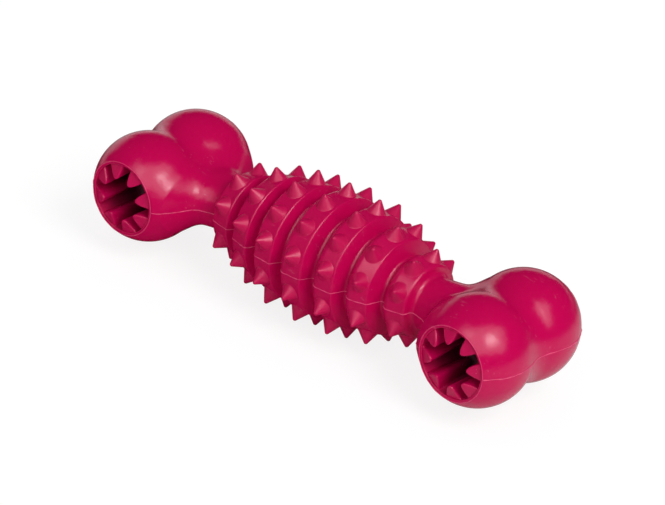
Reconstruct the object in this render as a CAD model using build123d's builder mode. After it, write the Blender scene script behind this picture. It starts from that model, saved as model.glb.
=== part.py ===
"""Rubber chew toy: a bone with a ringed, spiked barrel and a toothed treat pocket in each of its four lobes.

The bone lies along X, its paired lobes stand side by side along Y, and the mould's parting plane is z = 0.
"""

import os
from math import atan2, cos, degrees, radians, sin, sqrt

from build123d import *

# Lobes: two balls at each end, joined by a rounded waist
LOBE_R = 18.6
LOBE_Y = 11.45
WAIST_FILLET = 3.2

# Treat pockets: the mouth is a flat cut across the ball, the pocket a blind round hole behind it
MOUTH_CUT = 5.45
LIP_WIDTH = 1.05
POCKET_FLOOR_Y = 4.1
POCKET_FLOOR_FILLET = 4.0

# Teeth in each pocket, tallest at the mouth and dying out towards the floor
TOOTH_COUNT = 8
TOOTH_HEIGHT = 5.4
TOOTH_BASE_WIDTH = 5.8
TOOTH_TIP_WIDTH = 1.7
TOOTH_ROOT = 1.0
TOOTH_FROM_FLOOR_FILLET = 1.5
TOOTH_TAIL_HEIGHT = 1.2
TOOTH_TAIL_WIDTH = 3.4
TOOTH_FRONT_SET_BACK = 1.0
LEFT_TOOTH_TURN = 17.0
RIGHT_TOOTH_TURN = 9.0

# Necks: a round neck that flares sideways into the two lobes
NECK_R = 9.5
NECK_LENGTH = 29.2
NECK_FLARE_R = 14.0
NECK_FLARE_TURN = 72.0
NECK_SECTIONS = 8

# Barrel rings from the middle outwards, each with a crest that leans with the barrel's bulge
MIDDLE_WIDTH = 8.3
MIDDLE_CREST_R = 21.1
INNER_WIDTH = 7.3
INNER_NEAR_CREST_R = 20.4
INNER_FAR_CREST_R = 19.8
OUTER_WIDTH = 7.1
OUTER_NEAR_CREST_R = 18.65
OUTER_FAR_CREST_R = 16.7
END_WIDTH = 7.35
END_NEAR_CREST_R = 14.2
END_FAR_CREST_R = 12.7
END_WALL_LEAN = 0.7

# Grooves between the rings
GROOVE_WIDTH = 5.2
GROOVE_DEPTH = 4.3
GROOVE_FLOOR_WIDTH = 1.4

# Spikes: round cones square to the crests; the two rows at the parting plane keep their distance from it
SPIKE_BASE_R = 3.15
SPIKE_TIP_R = 0.4
SPIKE_FROM_SEAM = 6.8
SPIKE_ROOT = 0.9
MIDDLE_SPIKES_PER_HALF = 6
MIDDLE_SPIKE_HEIGHT = 4.1
INNER_SPIKES_PER_HALF = 6
INNER_SPIKE_HEIGHT = 4.3
OUTER_SPIKES_PER_HALF = 5
OUTER_SPIKE_HEIGHT = 3.9
END_SPIKES_PER_HALF = 4
END_SPIKE_HEIGHT = 3.7

# Mouth, pocket and teeth follow from the ball: the rim is where the cut leaves it
mouth_y = LOBE_Y + LOBE_R - MOUTH_CUT
rim_r = sqrt(LOBE_R**2 - (LOBE_R - MOUTH_CUT) ** 2)
pocket_r = rim_r - LIP_WIDTH
pocket_depth = mouth_y - POCKET_FLOOR_Y
tooth_tip_r = pocket_r - TOOTH_HEIGHT
tooth_tail_tip_r = pocket_r - TOOTH_TAIL_HEIGHT
tooth_length = pocket_depth - POCKET_FLOOR_FILLET - TOOTH_FROM_FLOOR_FILLET

# Crest edges and groove centres along the bone, counted out from the middle
middle_far_x = MIDDLE_WIDTH / 2
inner_near_x = middle_far_x + GROOVE_WIDTH
inner_far_x = inner_near_x + INNER_WIDTH
outer_near_x = inner_far_x + GROOVE_WIDTH
outer_far_x = outer_near_x + OUTER_WIDTH
end_near_x = outer_far_x + GROOVE_WIDTH
end_far_x = end_near_x + END_WIDTH
barrel_end_x = end_far_x + END_WALL_LEAN
lobe_x = barrel_end_x + NECK_LENGTH


def groove_floor(crest_before, crest_after):
    """Groove centre and floor radius between two crest corners, each an (x, radius) pair."""
    middle_x = (crest_before[0] + crest_after[0]) / 2
    return middle_x, (crest_before[1] + crest_after[1]) / 2 - GROOVE_DEPTH


# Crest corners of the rings on the +X half: (x, radius) at the near edge and at the far edge
middle_crest = ((-middle_far_x, MIDDLE_CREST_R), (middle_far_x, MIDDLE_CREST_R))
inner_crest = ((inner_near_x, INNER_NEAR_CREST_R), (inner_far_x, INNER_FAR_CREST_R))
outer_crest = ((outer_near_x, OUTER_NEAR_CREST_R), (outer_far_x, OUTER_FAR_CREST_R))
end_crest = ((end_near_x, END_NEAR_CREST_R), (end_far_x, END_FAR_CREST_R))

# Core profile: a straight line from each groove floor to the next, down to the neck
first_floor = groove_floor(middle_crest[1], inner_crest[0])
second_floor = groove_floor(inner_crest[1], outer_crest[0])
third_floor = groove_floor(outer_crest[1], end_crest[0])
core_end = (barrel_end_x, NECK_R)


def along_core(start, end, distance):
    """Point on the core line from start to end, the given distance along X from start."""
    share = distance / (end[0] - start[0])
    return start[0] + distance, start[1] + share * (end[1] - start[1])


def ring_section(core_near, core_far, crest, reaches_neck=False):
    """Corners of a ring's section: foot, crest, crest and foot, with half a groove floor left bare."""
    bare = GROOVE_FLOOR_WIDTH / 2
    span = core_far[0] - core_near[0]
    near_foot = along_core(core_near, core_far, bare)
    far_foot = core_far if reaches_neck else along_core(core_near, core_far, span - bare)
    return [near_foot, crest[0], crest[1], far_foot]


def save(piece, name):
    """Label a finished piece and write it to its own file."""
    piece.part.label = name
    export_step(piece.part, f"parts/{name}.step")


def make_core():
    """Spindle inside the rings; its bare bands are the groove floors."""
    right_half = [first_floor, second_floor, third_floor, core_end]
    left_half = [(-x, radius) for x, radius in reversed(right_half)]
    with BuildPart() as core:
        with BuildSketch():
            with BuildLine():
                Polyline((-barrel_end_x, 0), *left_half, *right_half, (barrel_end_x, 0), close=True)
            make_face()
        revolve(axis=Axis.X)
    return core


def make_ring(section):
    """Collar turned about the bone's axis, seated on the core."""
    with BuildPart() as ring:
        with BuildSketch():
            with BuildLine():
                Polyline(*section, close=True)
            make_face()
        revolve(axis=Axis.X)
    return ring


def spike_angles(crest_radius, spikes_per_half):
    """Angles about the bone, from the -Y side of the parting plane, of a ring's spikes in both halves."""
    first = degrees(SPIKE_FROM_SEAM / crest_radius)
    step = (180 - 2 * first) / (spikes_per_half - 1)
    upper = [first + step * index for index in range(spikes_per_half)]
    return upper + [-angle for angle in upper]


def make_spikes(ring, crest, spikes_per_half, height):
    """Cones standing square on a ring's crest, with their feet shaped to it."""
    (near_x, near_r), (far_x, far_r) = crest
    seat_x = (near_x + far_x) / 2
    seat_r = (near_r + far_r) / 2
    lean = atan2(near_r - far_r, far_x - near_x)
    foot_r = SPIKE_BASE_R + (SPIKE_BASE_R - SPIKE_TIP_R) * SPIKE_ROOT / height
    with BuildPart() as spikes:
        for angle in spike_angles(seat_r, spikes_per_half):
            across = -cos(radians(angle))
            upward = sin(radians(angle))
            outward = (sin(lean), cos(lean) * across, cos(lean) * upward)
            seat = Plane(origin=(seat_x, seat_r * across, seat_r * upward), z_dir=outward)
            with Locations(seat.offset(-SPIKE_ROOT)):
                Cone(foot_r, SPIKE_TIP_R, height + SPIKE_ROOT, align=(Align.CENTER, Align.CENTER, Align.MIN))
        add(ring.part, mode=Mode.SUBTRACT)
    return spikes


def make_lobe_form(end):
    """Solid form of one lobe: a ball with a flat mouth and half of the rounded waist, turned about its axis."""
    waist_centre_r = sqrt((LOBE_R + WAIST_FILLET) ** 2 - LOBE_Y**2)
    waist_r = waist_centre_r - WAIST_FILLET
    meet_share = WAIST_FILLET / (LOBE_R + WAIST_FILLET)
    meet = (waist_centre_r * (1 - meet_share), LOBE_Y * meet_share)
    waist_turn = atan2(LOBE_Y, waist_centre_r) / 2
    waist_middle = (waist_centre_r - WAIST_FILLET * cos(waist_turn), WAIST_FILLET * sin(waist_turn))
    with BuildPart() as form:
        with BuildSketch(Plane(origin=(end * lobe_x, 0, 0))):
            with BuildLine():
                Line((0, 0), (waist_r, 0))
                ThreePointArc((waist_r, 0), waist_middle, meet)
                ThreePointArc(meet, (LOBE_R, LOBE_Y), (rim_r, mouth_y))
                Polyline((rim_r, mouth_y), (0, mouth_y), (0, 0))
            make_face()
        revolve(axis=Axis((end * lobe_x, 0, 0), (0, 1, 0)))
    return form


def mouth_plane(end, side):
    """Plane on a mouth, its Z axis pointing into the pocket."""
    return Plane(origin=(end * lobe_x, side * mouth_y, 0), x_dir=(1, 0, 0), z_dir=(0, -side, 0))


def make_lobe(form, end, side):
    """Lobe with its blind treat pocket."""
    with BuildPart() as lobe:
        add(form.part)
        with Locations(mouth_plane(end, side)):
            Cylinder(
                pocket_r,
                pocket_depth,
                align=(Align.CENTER, Align.CENTER, Align.MIN),
                mode=Mode.SUBTRACT,
            )
        into_pocket = Axis((0, 0, 0), (0, -side, 0))
        floor_edge = lobe.edges(Select.LAST).filter_by(GeomType.CIRCLE).sort_by(into_pocket)[-1]
        fillet(floor_edge, POCKET_FLOOR_FILLET)
    return lobe


def neck_half_width(distance):
    """Half the neck's width at a distance from the barrel: an arc that turns outwards, then stays as wide."""
    reach = min(distance / NECK_FLARE_R, sin(radians(NECK_FLARE_TURN)))
    return NECK_R + NECK_FLARE_R * (1 - sqrt(1 - reach**2))


def make_neck(end, front_form, back_form):
    """Neck flaring sideways from the barrel's end, run well into the two lobes and then cut to them."""
    run = NECK_LENGTH - LOBE_R / 2
    with BuildPart() as neck:
        for index in range(NECK_SECTIONS):
            distance = run * index / (NECK_SECTIONS - 1)
            with BuildSketch(Plane.YZ.offset(end * (barrel_end_x + distance))):
                Ellipse(neck_half_width(distance), NECK_R)
        loft()
        add([front_form.part, back_form.part], mode=Mode.SUBTRACT)
    return neck


def tooth_section(half_base, half_tip, tip_r):
    """Four corners of a tooth across the pocket, its base sunk past the pocket wall."""
    base_r = pocket_r + TOOTH_ROOT
    return [(base_r, -half_base), (tip_r, -half_tip), (tip_r, half_tip), (base_r, half_base)]


def make_tooth():
    """One tooth about the mouth's centre, on the local X axis, running along Z into the pocket."""
    sections = [
        (0, tooth_section(TOOTH_BASE_WIDTH / 2, TOOTH_TIP_WIDTH / 2, tooth_tip_r)),
        (tooth_length, tooth_section(TOOTH_TAIL_WIDTH / 2, TOOTH_TIP_WIDTH / 2, tooth_tail_tip_r)),
    ]
    with BuildPart() as tooth:
        for depth, corners in sections:
            with BuildSketch(Plane.XY.offset(depth)):
                with BuildLine():
                    Polyline(*corners, close=True)
                make_face()
        loft(ruled=True)
        with BuildSketch(Plane.XZ):
            with BuildLine():
                Polyline(
                    (0, 0),
                    (tooth_tip_r, 0),
                    (pocket_r, TOOTH_FRONT_SET_BACK),
                    (pocket_r, tooth_length),
                    (0, tooth_length),
                    close=True,
                )
            make_face()
        revolve(axis=Axis.Z, mode=Mode.INTERSECT)
    return tooth


def make_teeth(tooth, end, side, turn):
    """Ring of teeth on the pocket wall, turned from +X towards +Z by the given angle."""
    with BuildPart() as teeth:
        with Locations(mouth_plane(end, side)):
            with PolarLocations(0, TOOTH_COUNT, start_angle=side * turn):
                add(tooth.part)
    return teeth


os.makedirs("parts", exist_ok=True)

save(make_core(), "barrel_core")

# Rings and spikes, numbered from the left end to the right end
half_rings = [
    (3, inner_crest, ring_section(first_floor, second_floor, inner_crest),
     INNER_SPIKES_PER_HALF, INNER_SPIKE_HEIGHT),
    (2, outer_crest, ring_section(second_floor, third_floor, outer_crest),
     OUTER_SPIKES_PER_HALF, OUTER_SPIKE_HEIGHT),
    (1, end_crest, ring_section(third_floor, core_end, end_crest, reaches_neck=True),
     END_SPIKES_PER_HALF, END_SPIKE_HEIGHT),
]
left_floor = (-first_floor[0], first_floor[1])
middle_ring = make_ring(ring_section(left_floor, first_floor, middle_crest))
save(middle_ring, "ring_4")
save(make_spikes(middle_ring, middle_crest, MIDDLE_SPIKES_PER_HALF, MIDDLE_SPIKE_HEIGHT), "ring_4_spikes")

for left_number, crest, section, spikes_per_half, height in half_rings:
    right_number = 8 - left_number
    right_ring = make_ring(section)
    right_spikes = make_spikes(right_ring, crest, spikes_per_half, height)
    save(right_ring, f"ring_{right_number}")
    save(right_spikes, f"ring_{right_number}_spikes")
    with BuildPart() as left_ring:
        mirror(right_ring.part, about=Plane.YZ)
    with BuildPart() as left_spikes:
        mirror(right_spikes.part, about=Plane.YZ)
    save(left_ring, f"ring_{left_number}")
    save(left_spikes, f"ring_{left_number}_spikes")

# Ends: a neck, two lobes and two sets of teeth each
tooth_form = make_tooth()
for end_name, end, tooth_turn in (("left", -1, LEFT_TOOTH_TURN), ("right", 1, RIGHT_TOOTH_TURN)):
    back_form = make_lobe_form(end)
    with BuildPart() as front_form:
        mirror(back_form.part, about=Plane.XZ)
    save(make_neck(end, front_form, back_form), f"{end_name}_neck")
    for side_name, side, form in (("front", -1, front_form), ("back", 1, back_form)):
        save(make_lobe(form, end, side), f"{end_name}_{side_name}_lobe")
        save(make_teeth(tooth_form, end, side, tooth_turn), f"{end_name}_{side_name}_teeth")
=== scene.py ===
"""Looks of the rubber chew toy: crimson moulded rubber with a parting flash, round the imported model.

Lengths are in metres, in the model's frame: the bone lies along X, the mouths face -Y and +Y, and the mould
parts at z = 0.
"""

from math import acos, atan2, cos, pi, radians, sin, sqrt, tan

import bmesh
import bpy
import numpy as np
from mathutils import Matrix, Vector


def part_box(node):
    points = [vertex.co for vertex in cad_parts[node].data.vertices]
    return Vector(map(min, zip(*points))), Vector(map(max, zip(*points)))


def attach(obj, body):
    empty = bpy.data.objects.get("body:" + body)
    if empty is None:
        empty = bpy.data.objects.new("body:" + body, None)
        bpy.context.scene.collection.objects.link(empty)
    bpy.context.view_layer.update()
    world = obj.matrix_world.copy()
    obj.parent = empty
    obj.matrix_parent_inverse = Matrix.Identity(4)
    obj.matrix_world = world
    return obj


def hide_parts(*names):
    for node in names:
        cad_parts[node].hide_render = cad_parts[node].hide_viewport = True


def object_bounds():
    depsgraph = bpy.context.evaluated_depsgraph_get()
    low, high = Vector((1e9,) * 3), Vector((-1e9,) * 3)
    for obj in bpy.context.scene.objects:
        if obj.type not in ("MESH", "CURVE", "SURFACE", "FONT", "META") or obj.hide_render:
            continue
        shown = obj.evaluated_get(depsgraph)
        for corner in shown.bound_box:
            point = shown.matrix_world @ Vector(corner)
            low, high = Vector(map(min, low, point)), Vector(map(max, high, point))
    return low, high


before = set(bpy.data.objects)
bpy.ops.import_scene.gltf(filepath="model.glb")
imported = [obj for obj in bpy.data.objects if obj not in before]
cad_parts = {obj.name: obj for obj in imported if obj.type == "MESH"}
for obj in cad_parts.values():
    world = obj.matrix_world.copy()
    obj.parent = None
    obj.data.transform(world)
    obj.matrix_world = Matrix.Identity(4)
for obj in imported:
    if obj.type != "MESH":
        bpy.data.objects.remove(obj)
cad_low, cad_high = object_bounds()

MM = 0.001
MERGE_DISTANCE = 0.002 * MM

# Ends and sides, with the sign of their place on X and Y
ENDS = {"left": -1, "right": 1}
SIDES = {"front": -1, "back": 1}

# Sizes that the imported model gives
lobe_low, lobe_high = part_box("right_front_lobe")
neck_low, neck_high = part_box("right_neck")
LOBE_X = (lobe_low.x + lobe_high.x) / 2
LOBE_R = (lobe_high.z - lobe_low.z) / 2
MOUTH_Y = -lobe_low.y
BARREL_END_X = neck_low.x
NECK_R = neck_high.z
NECK_LENGTH = LOBE_X - BARREL_END_X

# Ends: two balls, their waist, and the neck that flares into them
LOBE_Y = 11.45 * MM
WAIST_ROUNDING = 5.0 * MM
NECK_FLARE_R = 14.0 * MM
NECK_FLARE_TURN = radians(72)
NECK_ROUNDING = 4.5 * MM
NECK_STUB = 1.6 * MM
END_COLUMNS = 240
END_ROWS = 168
END_HALVINGS = 40

# Pockets
LIP_WIDTH = 1.05 * MM
LIP_ROUNDING = 0.3 * MM
POCKET_FLOOR_Y = 4.1 * MM
POCKET_FLOOR_FILLET = 4.0 * MM
RIM_R = sqrt(LOBE_R**2 - (MOUTH_Y - LOBE_Y) ** 2)
POCKET_R = RIM_R - LIP_WIDTH

# Teeth
TOOTH_COUNT = 8
TOOTH_HEIGHT = 5.1 * MM
TOOTH_HALF_BASE = 3.0 * MM
TOOTH_LENGTH = 16.5 * MM
TOOTH_TAIL_HEIGHT = 4.5 * MM
TOOTH_TAIL_HALF_BASE = 2.6 * MM
TOOTH_FRONT_SET_BACK = 0.55 * MM
TOOTH_TIP_STAND = 1.55 * MM
TOOTH_SLOPE_RANGE = (-0.2, 1.1)
TOOTH_CREST_POWER = 1.9
TOOTH_ROOT_FILLET = 0.8 * MM
TOOTH_ROOT_SINK = 0.12 * MM
TOOTH_ROOT_DEPTH = 0.9 * MM
TOOTH_EDGE_ROUNDING = 0.65 * MM
TOOTH_EDGE_TURNS = (0, radians(30), radians(60), radians(90))
TOOTH_COLUMNS = 29
TOOTH_DEPTH_ROWS = 12
TOOTH_SPREAD = 1.4
TOOTH_FACE_RINGS = (0.3, 0.6, 0.85, 0.95)
TOOTH_TURNS = {"left": radians(17), "right": radians(9)}

# Barrel rings, numbered from the left end
RING_COUNT = 7
MIDDLE_RING = 4

# Rings from the middle one to the end one: widths, and crest radii at the near and far edges
RING_WIDTHS = (8.3 * MM, 7.3 * MM, 7.1 * MM, 7.35 * MM)
CREST_RADII = (
    (21.1 * MM, 21.1 * MM),
    (20.4 * MM, 19.8 * MM),
    (18.65 * MM, 16.7 * MM),
    (14.2 * MM, 12.7 * MM),
)
GROOVE_WIDTH = 5.2 * MM
GROOVE_DEPTH = 4.3 * MM
GROOVE_FLOOR_WIDTH = 1.4 * MM
CREST_ROUNDING = 0.6 * MM
SHOULDER_ROUNDING = 2.4 * MM
END_EDGE_ROUNDING = 1.3 * MM
GROOVE_ROUNDING = 1.15 * MM
NECK_FOOT_ROUNDING = 1.7 * MM
BARREL_COLLAR = 2.4 * MM
BARREL_COLLAR_SINK = 0.01 * MM
BARREL_SEGMENTS = 288

# Spikes
SPIKES_PER_HALF = (6, 6, 5, 4)
SPIKE_HEIGHTS = (4.1 * MM, 4.3 * MM, 3.9 * MM, 3.7 * MM)
SPIKE_BASE_R = 3.15 * MM
SPIKE_TIP_R = 0.42 * MM
SPIKE_TIP_ROUNDING = 0.62 * MM
SPIKE_FOOT_FLARE = 0.55 * MM
SPIKE_FOOT_ROUNDING = 0.5 * MM
SPIKE_ROOT = 0.9 * MM
SPIKE_FROM_SEAM = 6.8 * MM
SPIKE_SEGMENTS = 40
SPIKE_IRREGULARITY = 0.025

# Flash: the thin fin where the mould's halves met, and the fin round each mouth
FLASH_HALF_HEIGHT = 0.27 * MM
FLASH_HALF_THICKNESS = 0.24 * MM
LIP_FLASH_R = 0.22 * MM
FLASH_STEP = 0.3 * MM
FLASH_WANDER = 1.2 * MM
FLASH_DRIFT_SCALE = 160.0
FLASH_RAGGED_SCALE = 420.0
FLASH_RAGGED_RANGE = (0.35, 0.7)
FLASH_SECTION_POINTS = 10
FLASH_LEAST_SIZE = 0.3
FLASH_FIRST_SEED = 3.0
LIP_FLASH_LEAST_SIZE = 0.5
LIP_FLASH_MIDDLE_SEED = 20.0

# Rubber
CRIMSON = (0.475, 0.0005, 0.068, 1)
# The flash's pale pink is a painted highlight for the light that the thin fin catches
FLASH_PAINTED_HIGHLIGHT_PINK = (0.66, 0.05, 0.165, 1)
LIP_ROSE = (0.6, 0.025, 0.12, 1)
# Painted shade: the colour that the rubber darkens to deep in the pockets
PAINTED_POCKET_SHADE = (0.1, 0.0003, 0.018, 1)
BLOOM = (0.66, 0.16, 0.26, 1)
RUBBER_SPECULAR = 0.25
RELIEF_DEPTH = 0.05 * MM

# Painted shade in the pockets: distances behind the mouth between which the rubber's colour darkens
PAINTED_SHADE_FROM = 4.0 * MM
PAINTED_SHADE_FULL_FROM = 15.0 * MM

# Slants along X between which the barrel's faces pass from groove to crest
CREST_SLANT_RANGE = (0.6, 0.4)

# Rubber's surface: fineness of its noises, where they begin to show, and their shares of gloss and relief
CLOUD_SCALE = 55
MOTTLE_SCALE = 850
GRAIN_SCALE = 3600
PATCH_SCALE = 95
SPECK_SCALE = 520
SCUFF_SCALE = (260, 1500, 900)
SCUFF_TURN = (0.3, 0.5, 0.6)
PATCH_RANGE = (0.52, 0.66)
SPECK_RANGE = (0.13, 0.07)
SCUFF_RANGE = (0.64, 0.72)
MOTTLE_IN_GLOSS = 0.12
WEAR_IN_GLOSS = 0.3
GRAIN_IN_RELIEF = 0.55
WEAR_IN_RELIEF = 0.3

# Stage: half the floor's side, its gap below the toy, and each screen's radius, top and two end azimuths
FLOOR_HALF = 6.0
FLOOR_GAP = 0.05 * MM
SCREENS = {"low_screen": (2.62, 0.38, 198, 240), "tall_screen": (2.6, 0.76, 238, 262)}
SCREEN_STEPS = 16

# Stage's shade and glow for the camera, its shade where it lights the toy, and its shade in the gloss
FLOOR_SHADE = 0.2
FLOOR_GLOW = 0.83
SCREEN_SHADE = 0.1
SCREEN_GLOW = 0.95
STAGE_WHITE = (0.93, 0.93, 0.93, 1)
STAGE_DARK = (0.02, 0.02, 0.02, 1)

# Bright parts of the stage in the toy's gloss: far out at the back, and round a spot at the right
MIRRORED_AZIMUTH = 240
MIRRORED_FROM = 0.15
MIRRORED_FULLY_FROM = 0.35
MIRRORED_SPOT = (0.2, 0.04, 0)
SPOT_R = 0.2
SPOT_BRIGHT_R = 0.1

# Lamps for the gloss, then for the light: azimuth, elevation, distance, width, height and radiance
GLOSS_LAMPS = {
    "panel_gloss": (58.5, 47.6, 2.2, 3.5, 2.1, 3.3),
    "core_gloss": (74.4, 44.6, 1.0, 0.3, 0.3, 12.5),
    "left_gloss": (-6, 42, 2.2, 1.0, 2.1, 2.3),
}
PLAIN_LAMPS = {
    "key_light": (76, 43, 3.0, 1.4, 1.4, 8.9),
    "front_light": (18, 34, 3.1, 1.4, 1.4, 1.7),
}

# Plain light from all round, and the white that the camera sees
SKY_SHADE = (0.51, 0.51, 0.51, 1)
WHITE = (1, 1, 1, 1)

# Camera, fitted to the photograph's frame of 665 by 505, with its azimuth and elevation in degrees
CAMERA_AZIMUTH = 39.25
CAMERA_ELEVATION = 29.49
CAMERA_ROLL = radians(4.44)
CAMERA_DISTANCE = 1.5299
CAMERA_LENS = 254.1
CAMERA_REACH = 20
AIM_RIGHT = 0.05 * MM
AIM_UP = 0.48 * MM


def add_node(tree, kind, inputs=None, **settings):
    """New node with its settings, and with each input linked to a socket or set to a value."""
    made = tree.nodes.new(kind)
    for key, value in settings.items():
        setattr(made, key, value)
    for key, value in (inputs or {}).items():
        if isinstance(value, bpy.types.NodeSocket):
            tree.links.new(value, made.inputs[key])
        else:
            made.inputs[key].default_value = value
    return made


def math(tree, operation, first, second=0.0, third=0.0):
    """Result of one sum on sockets or values."""
    return add_node(tree, "ShaderNodeMath", {0: first, 1: second, 2: third}, operation=operation).outputs[0]


def whole_math(tree, operation, first, second):
    """Whole-number result of one sum on sockets or values."""
    return add_node(tree, "FunctionNodeIntegerMath", {0: first, 1: second}, operation=operation).outputs[0]


def vector_math(tree, operation, *vectors):
    """Results, Vector and Value, of one sum on vectors."""
    return add_node(tree, "ShaderNodeVectorMath", dict(enumerate(vectors)), operation=operation).outputs


def mixed_colour(tree, share, first, second):
    """Colour that a share takes from the first towards the second."""
    return add_node(tree, "ShaderNodeMix", {0: share, 6: first, 7: second}, data_type="RGBA").outputs[2]


def new_tree(name, kind, inputs, outputs):
    """Node group with its named inputs and outputs; returns the tree and its input sockets by name."""
    tree = bpy.data.node_groups.new(name, kind)
    for socket_name, socket_type in inputs:
        tree.interface.new_socket(socket_name, in_out="INPUT", socket_type=socket_type)
    for socket_name, socket_type in outputs:
        tree.interface.new_socket(socket_name, in_out="OUTPUT", socket_type=socket_type)
    return tree, add_node(tree, "NodeGroupInput").outputs


def geometry_tree(name, inputs):
    """Geometry tree that takes and gives a geometry, with more named inputs and a material."""
    sockets = [("Geometry", "NodeSocketGeometry"), *inputs, ("Material", "NodeSocketMaterial")]
    return new_tree(name, "GeometryNodeTree", sockets, [("Geometry", "NodeSocketGeometry")])


def finish_tree(tree, geometry, material):
    """Last nodes of a geometry tree: plain mesh, smooth shading, material."""
    real = add_node(tree, "GeometryNodeRealizeInstances", {"Geometry": geometry})
    smooth = add_node(tree, "GeometryNodeSetShadeSmooth", {"Geometry": real.outputs[0]})
    dressing = {"Geometry": smooth.outputs[0], "Material": material}
    dressed = add_node(tree, "GeometryNodeSetMaterial", dressing)
    add_node(tree, "NodeGroupOutput", {"Geometry": dressed.outputs[0]})
    return tree


def new_object(name, mesh):
    """Object that shows a mesh, at the origin."""
    made = bpy.data.objects.new(name, mesh)
    bpy.context.scene.collection.objects.link(made)
    return made


def close_and_turn_outwards(mesh):
    """Merge a mesh's seams and point its faces outwards."""
    form = bmesh.new()
    form.from_mesh(mesh)
    bmesh.ops.remove_doubles(form, verts=form.verts, dist=MERGE_DISTANCE)
    bmesh.ops.recalc_face_normals(form, faces=form.faces)
    form.to_mesh(mesh)
    form.free()
    return mesh


def grown(name, tree, values, points=(), closed=False):
    """Plain mesh object that a geometry tree makes from its values and a chain of points."""
    chain = bpy.data.meshes.new(name)
    links = [(index, index + 1) for index in range(len(points) - 1)]
    if closed:
        links.append((len(points) - 1, 0))
    chain.from_pydata([tuple(point) for point in points], links, [])
    host = new_object(name, chain)
    modifier = host.modifiers.new(tree.name, "NODES")
    modifier.node_group = tree
    for item in tree.interface.items_tree:
        if item.in_out == "INPUT" and item.name in values:
            modifier[item.identifier] = values[item.name]
    evaluated = host.evaluated_get(bpy.context.evaluated_depsgraph_get())
    mesh = bpy.data.meshes.new_from_object(evaluated)
    host.modifiers.remove(modifier)
    host.data = close_and_turn_outwards(mesh)
    bpy.data.meshes.remove(chain)
    mesh.name = name
    return host


def rounded_outline(corners, steps=6):
    """Points of an open outline given as (along, across, rounding) corners, its inner corners made arcs."""
    outline = [np.array(corners[0][:2])]
    for before, corner, after in zip(corners, corners[1:], corners[2:]):
        here = np.array(corner[:2])
        to_before = np.array(before[:2]) - here
        to_after = np.array(after[:2]) - here
        to_before /= np.linalg.norm(to_before)
        to_after /= np.linalg.norm(to_after)
        half_angle = acos(float(np.clip(to_before @ to_after, -1, 1))) / 2
        middle = to_before + to_after
        centre = here + middle / np.linalg.norm(middle) * corner[2] / sin(half_angle)
        start = here + to_before * corner[2] / tan(half_angle) - centre
        turn = pi - 2 * half_angle
        side = 1 if to_before[0] * to_after[1] - to_before[1] * to_after[0] < 0 else -1
        for step in range(steps + 1):
            angle = side * turn * step / steps
            swing = np.array(((cos(angle), -sin(angle)), (sin(angle), cos(angle))))
            outline.append(centre + swing @ start)
    outline.append(np.array(corners[-1][:2]))
    return outline


def held_outline(outline, longest=0.6 * MM, share=0.12):
    """The same outline with two more points on each long run, which keep its shading flat."""
    held = [outline[0]]
    for start, end in zip(outline, outline[1:]):
        if np.linalg.norm(end - start) > longest:
            held += [start + share * (end - start), end - share * (end - start)]
        held.append(end)
    return held


def crest_edges():
    """Each ring's crest on the +X half from the middle out: (near x, near radius, far x, far radius)."""
    crests = []
    near_x = -RING_WIDTHS[0] / 2
    for width, (near_r, far_r) in zip(RING_WIDTHS, CREST_RADII):
        crests.append((near_x, near_r, near_x + width, far_r))
        near_x += width + GROOVE_WIDTH
    return crests


def half_barrel_corners(near_rounding):
    """Corners of the barrel's +X half from the middle ring out, as (x, radius, rounding)."""
    crests = crest_edges()
    corners = []
    for (near_x, near_r, far_x, far_r), following in zip(crests, crests[1:] + [None]):
        far_rounding = CREST_ROUNDING if following else END_EDGE_ROUNDING
        corners += [(near_x, near_r, near_rounding), (far_x, far_r, far_rounding)]
        if following:
            groove_x = (far_x + following[0]) / 2
            floor_r = (far_r + following[1]) / 2 - GROOVE_DEPTH
            for side in (-1, 1):
                corners.append((groove_x + side * GROOVE_FLOOR_WIDTH / 2, floor_r, GROOVE_ROUNDING))
    collar_x = BARREL_END_X + BARREL_COLLAR
    collar_r = NECK_R - BARREL_COLLAR_SINK
    corners += [(BARREL_END_X, collar_r, NECK_FOOT_ROUNDING), (collar_x, collar_r, 0), (collar_x, 0, 0)]
    return corners


def barrel_outline():
    """Outline of the barrel, (x, radius) from its left end, with soft left shoulders on the +X half."""
    crisp_half = half_barrel_corners(CREST_ROUNDING)[2:]
    left_half = [(-x, radius, rounding) for x, radius, rounding in reversed(crisp_half)]
    whole = left_half + half_barrel_corners(SHOULDER_ROUNDING)
    first, last = np.array(whole[0][:2]), np.array(whole[-1][:2])
    return held_outline([first, *rounded_outline(whole[1:-1], steps=8), last])


def turned_form_tree():
    """Tree that turns a chain of points, (along X, radius), about the X axis."""
    tree, given = geometry_tree("turned_form", [("Segments", "NodeSocketInt")])
    count = add_node(tree, "GeometryNodeAttributeDomainSize", {"Geometry": given["Geometry"]})
    columns = whole_math(tree, "ADD", given["Segments"], 1)
    grid = add_node(
        tree, "GeometryNodeMeshGrid", {"Vertices X": count.outputs["Point Count"], "Vertices Y": columns}
    )
    index = add_node(tree, "GeometryNodeInputIndex").outputs[0]
    row = whole_math(tree, "DIVIDE_FLOOR", index, columns)
    column = whole_math(tree, "MODULO", index, columns)
    place = add_node(tree, "GeometryNodeInputPosition").outputs[0]
    outline = add_node(
        tree,
        "GeometryNodeSampleIndex",
        {"Geometry": given["Geometry"], "Value": place, "Index": row},
        data_type="FLOAT_VECTOR",
    )
    share = math(tree, "DIVIDE", column, given["Segments"])
    angle = math(tree, "MULTIPLY", share, 2 * pi)
    swung = add_node(
        tree,
        "ShaderNodeVectorRotate",
        {"Vector": outline.outputs[0], "Angle": angle},
        rotation_type="X_AXIS",
    )
    formed = add_node(
        tree, "GeometryNodeSetPosition", {"Geometry": grid.outputs["Mesh"], "Position": swung.outputs[0]}
    )
    return finish_tree(tree, formed.outputs[0], given["Material"])


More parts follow.
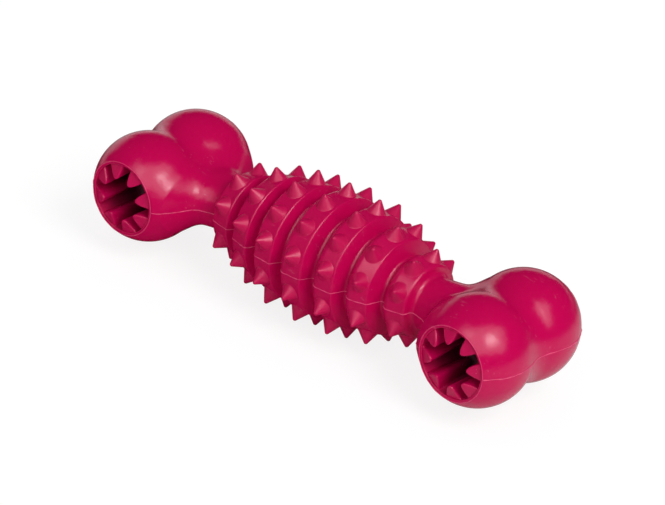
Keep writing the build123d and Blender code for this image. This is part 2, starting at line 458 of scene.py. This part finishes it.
def spike_row_tree():
    """Tree that stands a ring's spikes square on its crest, evenly in each half of the mould."""
    tree, given = geometry_tree(
        "spike_row",
        [
            ("Spike", "NodeSocketObject"),
            ("Spikes Per Half", "NodeSocketInt"),
            ("First Angle", "NodeSocketFloat"),
            ("Seat X", "NodeSocketFloat"),
            ("Seat Radius", "NodeSocketFloat"),
            ("Lean", "NodeSocketFloat"),
            ("Irregularity", "NodeSocketFloat"),
            ("Seed", "NodeSocketInt"),
        ],
    )
    per_half = given["Spikes Per Half"]
    count = whole_math(tree, "MULTIPLY", per_half, 2)
    index = add_node(tree, "GeometryNodeInputIndex").outputs[0]
    half = whole_math(tree, "DIVIDE_FLOOR", index, per_half)
    place = whole_math(tree, "MODULO", index, per_half)
    swept = math(tree, "MULTIPLY_ADD", given["First Angle"], -2.0, pi)
    step = math(tree, "DIVIDE", swept, math(tree, "SUBTRACT", per_half, 1.0))
    angle = math(tree, "MULTIPLY_ADD", step, place, given["First Angle"])
    signed = math(tree, "MULTIPLY", angle, math(tree, "MULTIPLY_ADD", half, -2.0, 1.0))
    across = math(tree, "MULTIPLY", math(tree, "COSINE", signed), -1.0)
    upward = math(tree, "SINE", signed)
    seat = add_node(
        tree,
        "ShaderNodeCombineXYZ",
        {
            "X": given["Seat X"],
            "Y": math(tree, "MULTIPLY", across, given["Seat Radius"]),
            "Z": math(tree, "MULTIPLY", upward, given["Seat Radius"]),
        },
    )
    lean_cosine = math(tree, "COSINE", given["Lean"])
    outward = add_node(
        tree,
        "ShaderNodeCombineXYZ",
        {
            "X": math(tree, "SINE", given["Lean"]),
            "Y": math(tree, "MULTIPLY", across, lean_cosine),
            "Z": math(tree, "MULTIPLY", upward, lean_cosine),
        },
    )
    seats = add_node(tree, "GeometryNodePoints", {"Count": count, "Position": seat.outputs[0]})
    turn = add_node(tree, "FunctionNodeAlignRotationToVector", {"Vector": outward.outputs[0]}, axis="X")
    least = math(tree, "SUBTRACT", 1.0, given["Irregularity"])
    size = add_node(
        tree,
        "FunctionNodeRandomValue",
        {2: least, 3: 1.0, "Seed": given["Seed"]},
        data_type="FLOAT",
    )
    spike = add_node(tree, "GeometryNodeObjectInfo", {"Object": given["Spike"]})
    standing = add_node(
        tree,
        "GeometryNodeInstanceOnPoints",
        {
            "Points": seats.outputs[0],
            "Instance": spike.outputs["Geometry"],
            "Rotation": turn.outputs[0],
            "Scale": size.outputs[1],
        },
    )
    return finish_tree(tree, standing.outputs[0], given["Material"])


def tooth_ring_tree():
    """Tree that sets teeth round a mouth and turns the ring to face it."""
    tree, given = geometry_tree(
        "tooth_ring",
        [
            ("Tooth", "NodeSocketObject"),
            ("Teeth", "NodeSocketInt"),
            ("First Angle", "NodeSocketFloat"),
            ("Mouth Centre", "NodeSocketVector"),
            ("Facing", "NodeSocketFloat"),
        ],
    )
    index = add_node(tree, "GeometryNodeInputIndex").outputs[0]
    step = math(tree, "DIVIDE", 2 * pi, given["Teeth"])
    angle = math(tree, "MULTIPLY_ADD", index, step, given["First Angle"])
    seats = add_node(tree, "GeometryNodePoints", {"Count": given["Teeth"]})
    turn = add_node(tree, "ShaderNodeCombineXYZ", {"Z": angle})
    tooth = add_node(tree, "GeometryNodeObjectInfo", {"Object": given["Tooth"]})
    ring = add_node(
        tree,
        "GeometryNodeInstanceOnPoints",
        {"Points": seats.outputs[0], "Instance": tooth.outputs["Geometry"], "Rotation": turn.outputs[0]},
    )
    tilt = add_node(tree, "ShaderNodeCombineXYZ", {"X": math(tree, "MULTIPLY", given["Facing"], pi / 2)})
    faced = add_node(
        tree,
        "GeometryNodeTransform",
        {"Geometry": ring.outputs[0], "Translation": given["Mouth Centre"], "Rotation": tilt.outputs[0]},
    )
    return finish_tree(tree, faced.outputs[0], given["Material"])


def seeded_noise(tree, seed, scale, detail):
    """Noise value between 0 and 1 that a seed changes."""
    inputs = {"W": seed, "Scale": scale, "Detail": detail}
    return add_node(tree, "ShaderNodeTexNoise", inputs, noise_dimensions="4D").outputs[0]


def flash_fin_tree():
    """Tree that runs a thin, uneven fin of rubber along a chain of points."""
    tree, given = geometry_tree(
        "flash_fin",
        [
            ("Step", "NodeSocketFloat"),
            ("Half Height", "NodeSocketFloat"),
            ("Half Thickness", "NodeSocketFloat"),
            ("Wander", "NodeSocketFloat"),
            ("Least Size", "NodeSocketFloat"),
            ("Seed", "NodeSocketFloat"),
        ],
    )
    path = add_node(tree, "GeometryNodeMeshToCurve", {"Mesh": given["Geometry"]})
    spacing = {"Curve": path.outputs[0], "Length": given["Step"]}
    even = add_node(tree, "GeometryNodeResampleCurve", spacing, mode="LENGTH")
    drift = seeded_noise(tree, given["Seed"], FLASH_DRIFT_SCALE, 3.0)
    centred = math(tree, "SUBTRACT", drift, 0.5)
    offset = add_node(
        tree, "ShaderNodeCombineXYZ", {"Z": math(tree, "MULTIPLY", centred, given["Wander"])}
    )
    wavy = add_node(
        tree, "GeometryNodeSetPosition", {"Geometry": even.outputs[0], "Offset": offset.outputs[0]}
    )
    upright = add_node(tree, "GeometryNodeSetCurveNormal", {"Curve": wavy.outputs[0]}, mode="Z_UP")
    size = add_node(
        tree,
        "ShaderNodeMapRange",
        {
            "Value": seeded_noise(tree, given["Seed"], FLASH_RAGGED_SCALE, 2.0),
            "From Min": FLASH_RAGGED_RANGE[0],
            "From Max": FLASH_RAGGED_RANGE[1],
            "To Min": given["Least Size"],
            "To Max": 1.0,
        },
    )
    circle = add_node(
        tree, "GeometryNodeCurvePrimitiveCircle", {"Resolution": FLASH_SECTION_POINTS, "Radius": 1.0}
    )
    stretch = add_node(
        tree, "ShaderNodeCombineXYZ", {"X": given["Half Height"], "Y": given["Half Thickness"], "Z": 1.0}
    )
    section = add_node(
        tree, "GeometryNodeTransform", {"Geometry": circle.outputs[0], "Scale": stretch.outputs[0]}
    )
    fin = add_node(
        tree,
        "GeometryNodeCurveToMesh",
        {
            "Curve": upright.outputs[0],
            "Profile Curve": section.outputs[0],
            "Scale": size.outputs[0],
            "Fill Caps": True,
        },
    )
    return finish_tree(tree, fin.outputs[0], given["Material"])


def round_union(first, second, radius):
    """Distance to two forms joined with a rounded inner corner."""
    corner = np.hypot(np.maximum(radius - first, 0), np.maximum(radius - second, 0))
    return np.maximum(radius, np.minimum(first, second)) - corner


def neck_half_width(reach):
    """Half the neck's width at a distance from the barrel: an arc outwards, then the same width."""
    turn = np.clip(reach / NECK_FLARE_R, 0, sin(NECK_FLARE_TURN))
    return NECK_R + NECK_FLARE_R * (1 - np.sqrt(1 - turn**2))


def end_distance(points):
    """Distance from an end's skin, about its middle, with the barrel towards -X; below zero inside."""
    x, y, z = points
    front = np.sqrt(x**2 + (y + LOBE_Y) ** 2 + z**2) - LOBE_R
    back = np.sqrt(x**2 + (y - LOBE_Y) ** 2 + z**2) - LOBE_R
    lobes = round_union(front, back, WAIST_ROUNDING)
    half_width = neck_half_width(x + NECK_LENGTH)
    neck = (np.hypot(y / half_width, z / NECK_R) - 1) * NECK_R
    neck = np.maximum(neck, np.maximum(x, -x - NECK_LENGTH - NECK_STUB))
    return round_union(lobes, neck, NECK_ROUNDING)


def pocket_outline():
    """Pocket and lip from the floor's centre to the rim, as (radius, distance from the waist) points."""
    beyond_rim = 1.0 * MM
    corners = [
        (0, POCKET_FLOOR_Y, 0),
        (POCKET_R, POCKET_FLOOR_Y, POCKET_FLOOR_FILLET),
        (POCKET_R, MOUTH_Y, LIP_ROUNDING),
        (RIM_R, MOUTH_Y, LIP_ROUNDING),
        (RIM_R + beyond_rim, MOUTH_Y - beyond_rim, 0),
    ]
    return held_outline(rounded_outline(corners)[:-1])


def end_skin_points():
    """Rows of points round the mouths' axis, pocket floor to pocket floor, and a pocket's row count."""
    around = np.arange(END_COLUMNS) * 2 * pi / END_COLUMNS
    rim_angle = atan2(RIM_R, MOUTH_Y)
    row_step = (pi - 2 * rim_angle) / END_ROWS
    tilt = rim_angle + row_step * np.arange(1, END_ROWS)
    rays = np.stack((
        np.outer(np.sin(tilt), np.cos(around)),
        np.outer(-np.cos(tilt), np.ones(END_COLUMNS)),
        np.outer(np.sin(tilt), np.sin(around)),
    ))
    inside = np.full(rays.shape[1:], LOBE_R / 3)
    outside = np.full(rays.shape[1:], LOBE_R / 3 + NECK_LENGTH + LOBE_R)
    for _ in range(END_HALVINGS):
        middle = (inside + outside) / 2
        within = end_distance(rays * middle) < 0
        inside = np.where(within, middle, inside)
        outside = np.where(within, outside, middle)
    lobes = np.moveaxis(rays * inside, 0, -1)
    pocket = np.array([
        np.stack((radius * np.cos(around), np.full(END_COLUMNS, -reach), radius * np.sin(around)), axis=-1)
        for radius, reach in pocket_outline()[1:]
    ])
    other_pocket = pocket[::-1] * (1, -1, 1)
    return np.concatenate((pocket, lobes, other_pocket)), len(pocket)


def row_mesh(name, rows, first_pole, last_pole):
    """Closed mesh through rows of as many points each, with a pole at either end."""
    row_count, columns = rows.shape[:2]
    points = np.concatenate((rows.reshape(-1, 3), [first_pole, last_pole]))
    faces = []
    for row in range(row_count - 1):
        for column in range(columns):
            after = (column + 1) % columns
            low, high = row * columns, (row + 1) * columns
            faces.append((low + column, low + after, high + after, high + column))
    last_row = (row_count - 1) * columns
    for column in range(columns):
        after = (column + 1) % columns
        faces.append((row_count * columns, after, column))
        faces.append((row_count * columns + 1, last_row + column, last_row + after))
    mesh = bpy.data.meshes.new(name)
    mesh.from_pydata(points.tolist(), [], faces)
    mesh.shade_smooth()
    return close_and_turn_outwards(mesh)


def make_end(name, end, skin_rows, material):
    """Neck, two lobes and their pockets as one closed skin."""
    placed = (skin_rows + (LOBE_X, 0, 0)) * (end, 1, 1)
    floors = [(end * LOBE_X, side * POCKET_FLOOR_Y, 0) for side in (-1, 1)]
    mesh = row_mesh(name, placed, *floors)
    mesh.materials.append(material)
    return new_object(name, mesh)


def tooth_section(depth, inset):
    """Points across a tooth at a depth, (towards the wall, across), with its free outline drawn in."""
    share = depth / TOOTH_LENGTH
    height = TOOTH_HEIGHT + (TOOTH_TAIL_HEIGHT - TOOTH_HEIGHT) * share - inset
    half_base = TOOTH_HALF_BASE + (TOOTH_TAIL_HALF_BASE - TOOTH_HALF_BASE) * share - inset
    spread = np.linspace(-TOOTH_SPREAD, TOOTH_SPREAD, TOOTH_COLUMNS)
    flank = height * (1 - np.abs(spread) ** TOOTH_CREST_POWER)
    ridge = (flank + np.hypot(flank, TOOTH_ROOT_FILLET)) / 2 - TOOTH_ROOT_SINK
    across = spread * half_base
    foot = POCKET_R + TOOTH_ROOT_DEPTH
    outward = np.sqrt(POCKET_R**2 - across**2) - ridge
    return np.stack((np.r_[foot, outward, foot], np.r_[across[0], across, across[-1]]), axis=-1)


def tooth_front(outward):
    """How far a tooth's front, sloping out to its tip, lies behind the mouth, by distance from the axis."""
    share = np.clip((POCKET_R - outward) / TOOTH_HEIGHT, *TOOTH_SLOPE_RANGE)
    return TOOTH_FRONT_SET_BACK * (1 - share) - TOOTH_TIP_STAND * np.maximum(share, 0)


def tooth_loop(depth, inset, scale=1.0):
    """Loop of points round a tooth, (towards the wall, across, into the pocket), scaled about its root."""
    section = tooth_section(depth, inset)
    root = np.array((POCKET_R + TOOTH_ROOT_DEPTH / 2, 0))
    section = root + scale * (section - root)
    into = depth + tooth_front(section[:, 0]) * (1 - depth / TOOTH_LENGTH)
    return np.column_stack((section, into))


def make_tooth():
    """One tooth on the local X axis, running along Z into the pocket, with rounded edges at both ends."""
    rounding = TOOTH_EDGE_ROUNDING
    edge = [(rounding * (1 - cos(turn)), rounding * (1 - sin(turn))) for turn in TOOTH_EDGE_TURNS]
    loops = [tooth_loop(0, rounding, scale) for scale in TOOTH_FACE_RINGS]
    loops += [tooth_loop(depth, inset) for depth, inset in edge]
    loops += [tooth_loop(depth, 0) for depth in np.linspace(0, TOOTH_LENGTH, TOOTH_DEPTH_ROWS)[1:-1]]
    loops += [tooth_loop(TOOTH_LENGTH - depth, inset) for depth, inset in reversed(edge)]
    loops += [tooth_loop(TOOTH_LENGTH, rounding, scale) for scale in reversed(TOOTH_FACE_RINGS)]
    loops = np.array(loops)
    mesh = row_mesh("tooth", loops, loops[0].mean(axis=0), loops[-1].mean(axis=0))
    return new_object("tooth", mesh)


def make_spike(turned, height, material):
    """One spike on the X axis, with a rounded tip and a slightly flared foot below the crest."""
    corners = [
        (-SPIKE_ROOT, 0, 0),
        (-SPIKE_ROOT, SPIKE_BASE_R, 0),
        (-SPIKE_FOOT_FLARE, SPIKE_BASE_R + SPIKE_FOOT_FLARE, 0),
        (0, SPIKE_BASE_R, SPIKE_FOOT_ROUNDING),
        (height, SPIKE_TIP_R, SPIKE_TIP_ROUNDING),
        (height, 0, 0),
    ]
    lower = [np.array(corner[:2]) for corner in corners[:2]]
    outline = held_outline(lower + rounded_outline(corners[2:], steps=5))
    points = [(along, radius, 0) for along, radius in outline]
    return grown("spike", turned, {"Segments": SPIKE_SEGMENTS, "Material": material}, points)


def value_noise(tree, coordinate, scale, detail, roughness=0.5):
    """Noise value between 0 and 1."""
    inputs = {"Vector": coordinate, "Scale": scale, "Detail": detail, "Roughness": roughness}
    return add_node(tree, "ShaderNodeTexNoise", inputs).outputs[0]


def ramped(tree, value, low, high):
    """Value spread so that low becomes 0 and high becomes 1."""
    return add_node(tree, "ShaderNodeMapRange", {0: value, 1: low, 2: high}).outputs[0]


def moulded_finish_group():
    """Shader group with the rubber's tone, gloss and relief: clouding, mottling, dust specks and scuffs."""
    tree, given = new_tree(
        "moulded_finish",
        "ShaderNodeTree",
        [
            ("Coordinate", "NodeSocketVector"),
            ("Colour", "NodeSocketColor"),
            ("Bloom Colour", "NodeSocketColor"),
            ("Bloom", "NodeSocketFloat"),
            ("Scuffs", "NodeSocketFloat"),
            ("Gloss Roughness", "NodeSocketFloat"),
            ("Matt Roughness", "NodeSocketFloat"),
            ("Matt Share", "NodeSocketFloat"),
        ],
        [("Colour", "NodeSocketColor"), ("Roughness", "NodeSocketFloat"), ("Height", "NodeSocketFloat")],
    )
    place = given["Coordinate"]
    cloud = value_noise(tree, place, CLOUD_SCALE, 3)
    mottle = value_noise(tree, place, MOTTLE_SCALE, 4, 0.6)
    grain = value_noise(tree, place, GRAIN_SCALE, 2)
    patches = ramped(tree, value_noise(tree, place, PATCH_SCALE, 2), *PATCH_RANGE)
    cells = add_node(tree, "ShaderNodeTexVoronoi", {"Vector": place, "Scale": SPECK_SCALE})
    specks = math(tree, "MULTIPLY", ramped(tree, cells.outputs["Distance"], *SPECK_RANGE), patches)
    stretched = add_node(
        tree, "ShaderNodeMapping", {"Vector": place, "Scale": SCUFF_SCALE, "Rotation": SCUFF_TURN}
    )
    marks = ramped(tree, value_noise(tree, stretched.outputs[0], 1, 2), *SCUFF_RANGE)
    scuffs = math(tree, "MULTIPLY", math(tree, "MULTIPLY", marks, patches), given["Scuffs"])
    bloom = math(tree, "MULTIPLY", math(tree, "MULTIPLY", cloud, mottle), given["Bloom"])
    worn = math(tree, "MULTIPLY_ADD", specks, given["Scuffs"], scuffs)
    paled = add_node(tree, "ShaderNodeMath", {0: bloom, 1: worn}, operation="ADD", use_clamp=True)
    tone = mixed_colour(tree, paled.outputs[0], given["Colour"], given["Bloom Colour"])
    matt_step = math(tree, "SUBTRACT", given["Matt Roughness"], given["Gloss Roughness"])
    base = math(tree, "MULTIPLY_ADD", matt_step, given["Matt Share"], given["Gloss Roughness"])
    rough = math(tree, "MULTIPLY_ADD", math(tree, "SUBTRACT", mottle, 0.5), MOTTLE_IN_GLOSS, base)
    rough = math(tree, "MULTIPLY_ADD", worn, WEAR_IN_GLOSS, rough)
    relief = math(tree, "MULTIPLY_ADD", grain, GRAIN_IN_RELIEF, mottle)
    relief = math(tree, "MULTIPLY_ADD", worn, WEAR_IN_RELIEF, relief)
    add_node(tree, "NodeGroupOutput", {"Colour": tone, "Roughness": rough, "Height": relief})
    return tree


def crest_mask(tree, surface):
    """Mask of the barrel's crests, which face away from its axis."""
    slant = add_node(tree, "ShaderNodeSeparateXYZ", {0: surface["Normal"]}).outputs["X"]
    return ramped(tree, math(tree, "ABSOLUTE", slant), *CREST_SLANT_RANGE)


def pocket_mask(tree, surface):
    """Mask of the pockets, which lie close to the mouths' axes."""
    mirrored = vector_math(tree, "ABSOLUTE", surface["Object"])["Vector"]
    offset = vector_math(tree, "SUBTRACT", mirrored, (LOBE_X, 0, 0))["Vector"]
    across = vector_math(tree, "MULTIPLY", offset, (1, 0, 1))["Vector"]
    reach = vector_math(tree, "LENGTH", across)["Value"]
    return math(tree, "LESS_THAN", reach, POCKET_R + LIP_ROUNDING / 2)


def colour_with_painted_pocket_shade(tree, surface, colour):
    """Colour with painted shade, darker towards the bottom of the pockets."""
    reach = add_node(tree, "ShaderNodeSeparateXYZ", {0: surface["Object"]}).outputs["Y"]
    deep = ramped(tree, math(tree, "ABSOLUTE", reach), MOUTH_Y - PAINTED_SHADE_FROM, MOUTH_Y - PAINTED_SHADE_FULL_FROM)
    share = math(tree, "MULTIPLY", deep, pocket_mask(tree, surface))
    return mixed_colour(tree, share, colour, PAINTED_POCKET_SHADE)


def rubber_material(
    name,
    finish,
    colour,
    bloom,
    scuffs,
    roughness,
    relief,
    matt_roughness=0.0,
    matt_mask=None,
    paints_pocket_shade=False,
):
    """Rubber with its own colour, bloom, scuffs, gloss and relief, matt where a mask says so, and with
    painted shade deep in the pockets where asked.
    """
    material = bpy.data.materials.new(name)
    material.use_nodes = True
    tree = material.node_tree
    surface = add_node(tree, "ShaderNodeTexCoord").outputs
    dressing = {
        "Coordinate": surface["Object"],
        "Colour": colour_with_painted_pocket_shade(tree, surface, colour) if paints_pocket_shade else colour,
        "Bloom Colour": BLOOM,
        "Bloom": bloom,
        "Scuffs": scuffs,
        "Gloss Roughness": roughness,
        "Matt Roughness": matt_roughness,
        "Matt Share": matt_mask(tree, surface) if matt_mask else 0.0,
    }
    dressed = add_node(tree, "ShaderNodeGroup", dressing, node_tree=finish).outputs
    lift = {"Strength": relief, "Distance": RELIEF_DEPTH, "Height": dressed["Height"]}
    bump = add_node(tree, "ShaderNodeBump", lift)
    shader = tree.nodes["Principled BSDF"]
    shader.inputs["Specular IOR Level"].default_value = RUBBER_SPECULAR
    tree.links.new(dressed["Colour"], shader.inputs["Base Color"])
    tree.links.new(dressed["Roughness"], shader.inputs["Roughness"])
    tree.links.new(bump.outputs[0], shader.inputs["Normal"])
    return material


def direction(azimuth, elevation):
    """Unit vector towards an azimuth, counted as the camera's is, and an elevation, both in degrees."""
    turn, rise = radians(azimuth), radians(elevation)
    return Vector((sin(turn) * cos(rise), -cos(turn) * cos(rise), sin(rise)))


def stage_material(name, shade, glow):
    """Matt white that glows white for the camera and glass, and is dark in a gloss but for two parts."""
    material = bpy.data.materials.new(name)
    material.use_nodes = True
    tree = material.node_tree
    tree.nodes.remove(tree.nodes["Principled BSDF"])
    path = add_node(tree, "ShaderNodeLightPath").outputs
    looked_at = math(tree, "MAXIMUM", path["Is Camera Ray"], path["Is Transmission Ray"])
    lit = add_node(tree, "ShaderNodeBsdfDiffuse", {"Color": STAGE_WHITE})
    shadowed = add_node(tree, "ShaderNodeBsdfDiffuse", {"Color": (shade, shade, shade, 1)})
    body = add_node(tree, "ShaderNodeMixShader", {0: looked_at, 1: lit.outputs[0], 2: shadowed.outputs[0]})
    place = add_node(tree, "ShaderNodeTexCoord").outputs["Object"]
    behind = vector_math(tree, "DOT_PRODUCT", place, direction(MIRRORED_AZIMUTH, 0))["Value"]
    bright_behind = ramped(tree, behind, MIRRORED_FROM, MIRRORED_FULLY_FROM)
    aside = vector_math(tree, "DISTANCE", place, MIRRORED_SPOT)["Value"]
    bright_aside = ramped(tree, aside, SPOT_R, SPOT_BRIGHT_R)
    unmirrored = math(tree, "SUBTRACT", 1.0, math(tree, "MAXIMUM", bright_behind, bright_aside))
    unmirrored = math(tree, "MULTIPLY", path["Is Glossy Ray"], unmirrored)
    dark = add_node(tree, "ShaderNodeBsdfDiffuse", {"Color": STAGE_DARK})
    body = add_node(tree, "ShaderNodeMixShader", {0: unmirrored, 1: body.outputs[0], 2: dark.outputs[0]})
    strength = math(tree, "MULTIPLY", looked_at, glow)
    emission = add_node(tree, "ShaderNodeEmission", {"Color": WHITE, "Strength": strength})
    shown = add_node(tree, "ShaderNodeAddShader", {0: body.outputs[0], 1: emission.outputs[0]})
    tree.links.new(shown.outputs[0], tree.nodes["Material Output"].inputs["Surface"])
    return material


def add_lamp(name, azimuth, elevation, distance, width, height, radiance, lights=True, reflects=True):
    """Soft lamp that faces the toy, to light it, to show in its gloss, or both."""
    light = bpy.data.lights.new(name, "AREA")
    light.shape = "RECTANGLE"
    light.size = width
    light.size_y = height
    light.energy = radiance * pi * width * height
    lamp = bpy.data.objects.new(name, light)
    towards = direction(azimuth, elevation)
    lamp.location = towards * distance
    lamp.rotation_mode = "QUATERNION"
    lamp.rotation_quaternion = towards.to_track_quat("Z", "Y")
    lamp.visible_diffuse = lights
    lamp.visible_glossy = reflects
    bpy.context.scene.collection.objects.link(lamp)


def add_screen(name, foot_z, radius, top_z, first_azimuth, last_azimuth, material):
    """Upright white screen round part of the floor."""
    points = []
    for step in range(SCREEN_STEPS + 1):
        azimuth = first_azimuth + (last_azimuth - first_azimuth) * step / SCREEN_STEPS
        foot = direction(azimuth, 0) * radius
        points += [(foot.x, foot.y, foot_z), (foot.x, foot.y, top_z)]
    faces = [(2 * step, 2 * step + 2, 2 * step + 3, 2 * step + 1) for step in range(SCREEN_STEPS)]
    mesh = bpy.data.meshes.new(name)
    mesh.from_pydata(points, [], faces)
    mesh.materials.append(material)
    new_object(name, mesh)


def make_stage():
    """White floor under the toy and white screens behind it."""
    floor_z = cad_low.z - FLOOR_GAP
    signs = ((-1, -1), (1, -1), (1, 1), (-1, 1))
    mesh = bpy.data.meshes.new("floor")
    mesh.from_pydata([(x * FLOOR_HALF, y * FLOOR_HALF, floor_z) for x, y in signs], [], [(0, 1, 2, 3)])
    mesh.materials.append(stage_material("floor_white", FLOOR_SHADE, FLOOR_GLOW))
    new_object("floor", mesh)
    screen_white = stage_material("screen_white", SCREEN_SHADE, SCREEN_GLOW)
    for name, screen in SCREENS.items():
        add_screen(name, floor_z, *screen, screen_white)


def make_lamps():
    """Soft lamps that only show in the toy's gloss, and soft lamps that only light it."""
    for name, lamp in GLOSS_LAMPS.items():
        add_lamp(name, *lamp, lights=False)
    for name, lamp in PLAIN_LAMPS.items():
        add_lamp(name, *lamp, reflects=False)


def make_sky():
    """Even sky that lights the toy, looks white to the camera and stays out of the gloss."""
    world = bpy.data.worlds.new("even_sky")
    world.use_nodes = True
    tree = world.node_tree
    path = add_node(tree, "ShaderNodeLightPath").outputs
    looked_at = math(tree, "MAXIMUM", path["Is Camera Ray"], path["Is Transmission Ray"])
    shade = mixed_colour(tree, looked_at, SKY_SHADE, WHITE)
    tree.links.new(shade, tree.nodes["Background"].inputs["Color"])
    bpy.context.scene.world = world
    world.cycles_visibility.glossy = False


def make_camera():
    """Camera at the photograph's place and angle."""
    back = direction(CAMERA_AZIMUTH, CAMERA_ELEVATION)
    level_right = direction(CAMERA_AZIMUTH + 90, 0)
    level_up = back.cross(level_right)
    right = level_right * cos(CAMERA_ROLL) + level_up * sin(CAMERA_ROLL)
    up = level_up * cos(CAMERA_ROLL) - level_right * sin(CAMERA_ROLL)
    data = bpy.data.cameras.new("camera")
    data.lens = CAMERA_LENS
    data.sensor_fit = "HORIZONTAL"
    data.clip_end = CAMERA_REACH
    camera = bpy.data.objects.new("camera", data)
    place = Matrix((right, up, back)).transposed().to_4x4()
    place.translation = right * AIM_RIGHT + up * AIM_UP + back * CAMERA_DISTANCE
    camera.matrix_world = place
    bpy.context.scene.collection.objects.link(camera)
    bpy.context.scene.camera = camera


def add_piece(piece, *stands_for):
    """Make a finished piece part of the toy, in place of the model's nodes that it stands for."""
    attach(piece, "root")
    if stands_for:
        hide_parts(*stands_for)


def make_barrel(turned, material):
    """Ringed barrel, turned in one piece."""
    points = [(x, radius, 0) for x, radius in barrel_outline()]
    barrel = grown("barrel", turned, {"Segments": BARREL_SEGMENTS, "Material": material}, points)
    add_piece(barrel, "barrel_core", *[f"ring_{number}" for number in range(1, RING_COUNT + 1)])


def make_spike_rows(turned, material):
    """Every ring's spikes, numbered from the left end."""
    row_tree = spike_row_tree()
    for place, (near_x, near_r, far_x, far_r) in enumerate(crest_edges()):
        spike = make_spike(turned, SPIKE_HEIGHTS[place], material)
        seat_r = (near_r + far_r) / 2
        for end in (1,) if place == 0 else (-1, 1):
            number = MIDDLE_RING + end * place
            values = {
                "Spike": spike,
                "Spikes Per Half": SPIKES_PER_HALF[place],
                "First Angle": SPIKE_FROM_SEAM / seat_r,
                "Seat X": end * (near_x + far_x) / 2,
                "Seat Radius": seat_r,
                "Lean": end * atan2(near_r - far_r, far_x - near_x),
                "Irregularity": SPIKE_IRREGULARITY,
                "Seed": number,
                "Material": material,
            }
            row = grown(f"ring_{number}_spike_row", row_tree, values)
            add_piece(row, f"ring_{number}_spikes")
        bpy.data.objects.remove(spike)


def make_teeth(material):
    """Ring of teeth in each pocket."""
    ring_tree = tooth_ring_tree()
    tooth = make_tooth()
    for end_name, end in ENDS.items():
        for side_name, side in SIDES.items():
            values = {
                "Tooth": tooth,
                "Teeth": TOOTH_COUNT,
                "First Angle": side * TOOTH_TURNS[end_name],
                "Mouth Centre": (end * LOBE_X, side * MOUTH_Y, 0),
                "Facing": float(side),
                "Material": material,
            }
            ring = grown(f"{end_name}_{side_name}_tooth_ring", ring_tree, values)
            add_piece(ring, f"{end_name}_{side_name}_teeth")
    bpy.data.objects.remove(tooth)


def make_flash(skin_rows, pocket_rows, material, lip_material):
    """Parting flash along the four stretches of the outline at z = 0, and the flash round each mouth."""
    fin_tree = flash_fin_tree()
    lobes = skin_rows[pocket_rows - 1:len(skin_rows) - pocket_rows + 1]
    inner_side = lobes[:, END_COLUMNS // 2] + (LOBE_X, 0, 0)
    outer_side = lobes[:, 0] + (LOBE_X, 0, 0)
    front_half = inner_side[: len(inner_side) // 2]
    neck_foot_x = BARREL_END_X + NECK_FOOT_ROUNDING / 2
    front_of_end = front_half[front_half[:, 0] > neck_foot_x][::-1]
    barrel = [(x, -radius, 0) for x, radius in barrel_outline() if abs(x) <= neck_foot_x]
    front = [*(front_of_end[::-1] * (-1, 1, 1)), *barrel, *front_of_end]
    stretches = {
        "front_parting_flash": np.array(front),
        "back_parting_flash": np.array(front) * (1, -1, 1),
        "left_parting_flash": outer_side * (-1, 1, 1),
        "right_parting_flash": outer_side,
    }
    values = {
        "Step": FLASH_STEP,
        "Half Height": FLASH_HALF_HEIGHT,
        "Half Thickness": FLASH_HALF_THICKNESS,
        "Wander": FLASH_WANDER,
        "Least Size": FLASH_LEAST_SIZE,
        "Material": material,
    }
    for seed, (name, points) in enumerate(stretches.items()):
        add_piece(grown(name, fin_tree, {**values, "Seed": FLASH_FIRST_SEED + seed}, points))
    lip_values = {
        "Step": FLASH_STEP,
        "Half Height": LIP_FLASH_R,
        "Half Thickness": LIP_FLASH_R,
        "Wander": 0.0,
        "Least Size": LIP_FLASH_LEAST_SIZE,
        "Material": lip_material,
    }
    lip_r = RIM_R - LIP_ROUNDING / 2
    turns = np.arange(END_COLUMNS) * 2 * pi / END_COLUMNS
    for end_name, end in ENDS.items():
        for side_name, side in SIDES.items():
            lip = [(end * LOBE_X + lip_r * cos(turn), side * MOUTH_Y, lip_r * sin(turn)) for turn in turns]
            lip_values["Seed"] = LIP_FLASH_MIDDLE_SEED + 2 * end + side
            add_piece(grown(f"{end_name}_{side_name}_lip_flash", fin_tree, lip_values, lip, closed=True))


bpy.context.scene.view_settings.view_transform = "Standard"
finish = moulded_finish_group()
# The skin's and the teeth's rubber take painted shade, darker deep in the pockets
skin_rubber = rubber_material(
    "skin_rubber",
    finish,
    CRIMSON,
    bloom=0.004,
    scuffs=0.2,
    roughness=0.15,
    relief=1.0,
    matt_roughness=0.5,
    matt_mask=pocket_mask,
    paints_pocket_shade=True,
)
barrel_rubber = rubber_material(
    "barrel_rubber",
    finish,
    CRIMSON,
    bloom=0.004,
    scuffs=0.2,
    roughness=0.17,
    relief=1.0,
    matt_roughness=0.22,
    matt_mask=crest_mask,
)
spike_rubber = rubber_material(
    "spike_rubber", finish, CRIMSON, bloom=0.01, scuffs=0.2, roughness=0.32, relief=1.2
)
tooth_rubber = rubber_material(
    "tooth_rubber", finish, CRIMSON, bloom=0.01, scuffs=0.2, roughness=0.24, relief=1.0, paints_pocket_shade=True
)
# Flash rubber: pale pink with strong bloom, a painted highlight for the light the thin fin catches
flash_rubber = rubber_material(
    "flash_rubber", finish, FLASH_PAINTED_HIGHLIGHT_PINK, bloom=0.2, scuffs=0.3, roughness=0.36, relief=0.3
)
lip_rubber = rubber_material(
    "lip_rubber", finish, LIP_ROSE, bloom=0.1, scuffs=0.3, roughness=0.36, relief=0.3
)

turned_form = turned_form_tree()
make_barrel(turned_form, barrel_rubber)
make_spike_rows(turned_form, spike_rubber)
end_rows, pocket_row_count = end_skin_points()
for end_name, end_side in ENDS.items():
    end_piece = make_end(f"{end_name}_end", end_side, end_rows, skin_rubber)
    add_piece(end_piece, f"{end_name}_neck", f"{end_name}_front_lobe", f"{end_name}_back_lobe")
make_teeth(tooth_rubber)
make_flash(end_rows, pocket_row_count, flash_rubber, lip_rubber)

make_stage()
make_lamps()
make_sky()
make_camera()
